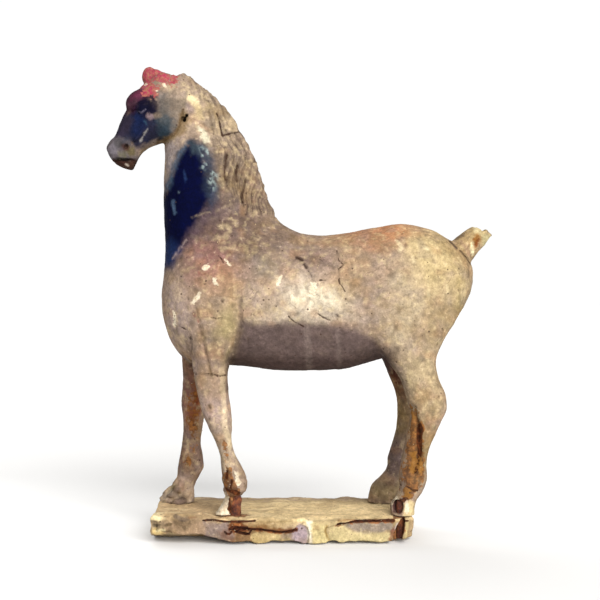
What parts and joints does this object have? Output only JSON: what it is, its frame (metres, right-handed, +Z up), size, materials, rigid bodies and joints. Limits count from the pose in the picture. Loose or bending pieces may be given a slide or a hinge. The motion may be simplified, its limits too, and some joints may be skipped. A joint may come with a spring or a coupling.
{
  "type": "painted pottery tomb horse",
  "caption": "Standing painted earthenware tomb horse, head forward, tail broken short, on a low chipped slab plinth with rusted iron pins bared at the left hooves.",
  "frame": {"origin": "centre of the plinth's underside", "axes": "+Z up through the horse's back, -X the way the horse faces, -Y its left side"},
  "size_m": [0.3448, 0.1058, 0.4194],
  "materials": {
    "painted_clay": "matt unglazed earthenware with worn pigment and dirt",
    "bare_clay": "matt unglazed earthenware, chipped",
    "rusted_iron": "corroded, rough"
  },
  "bodies": {
    "root": {"horse": "painted_clay", "plinth": "bare_clay", "fore_pin": "rusted_iron", "hind_pin": "rusted_iron"}
  },
  "joints": []
}
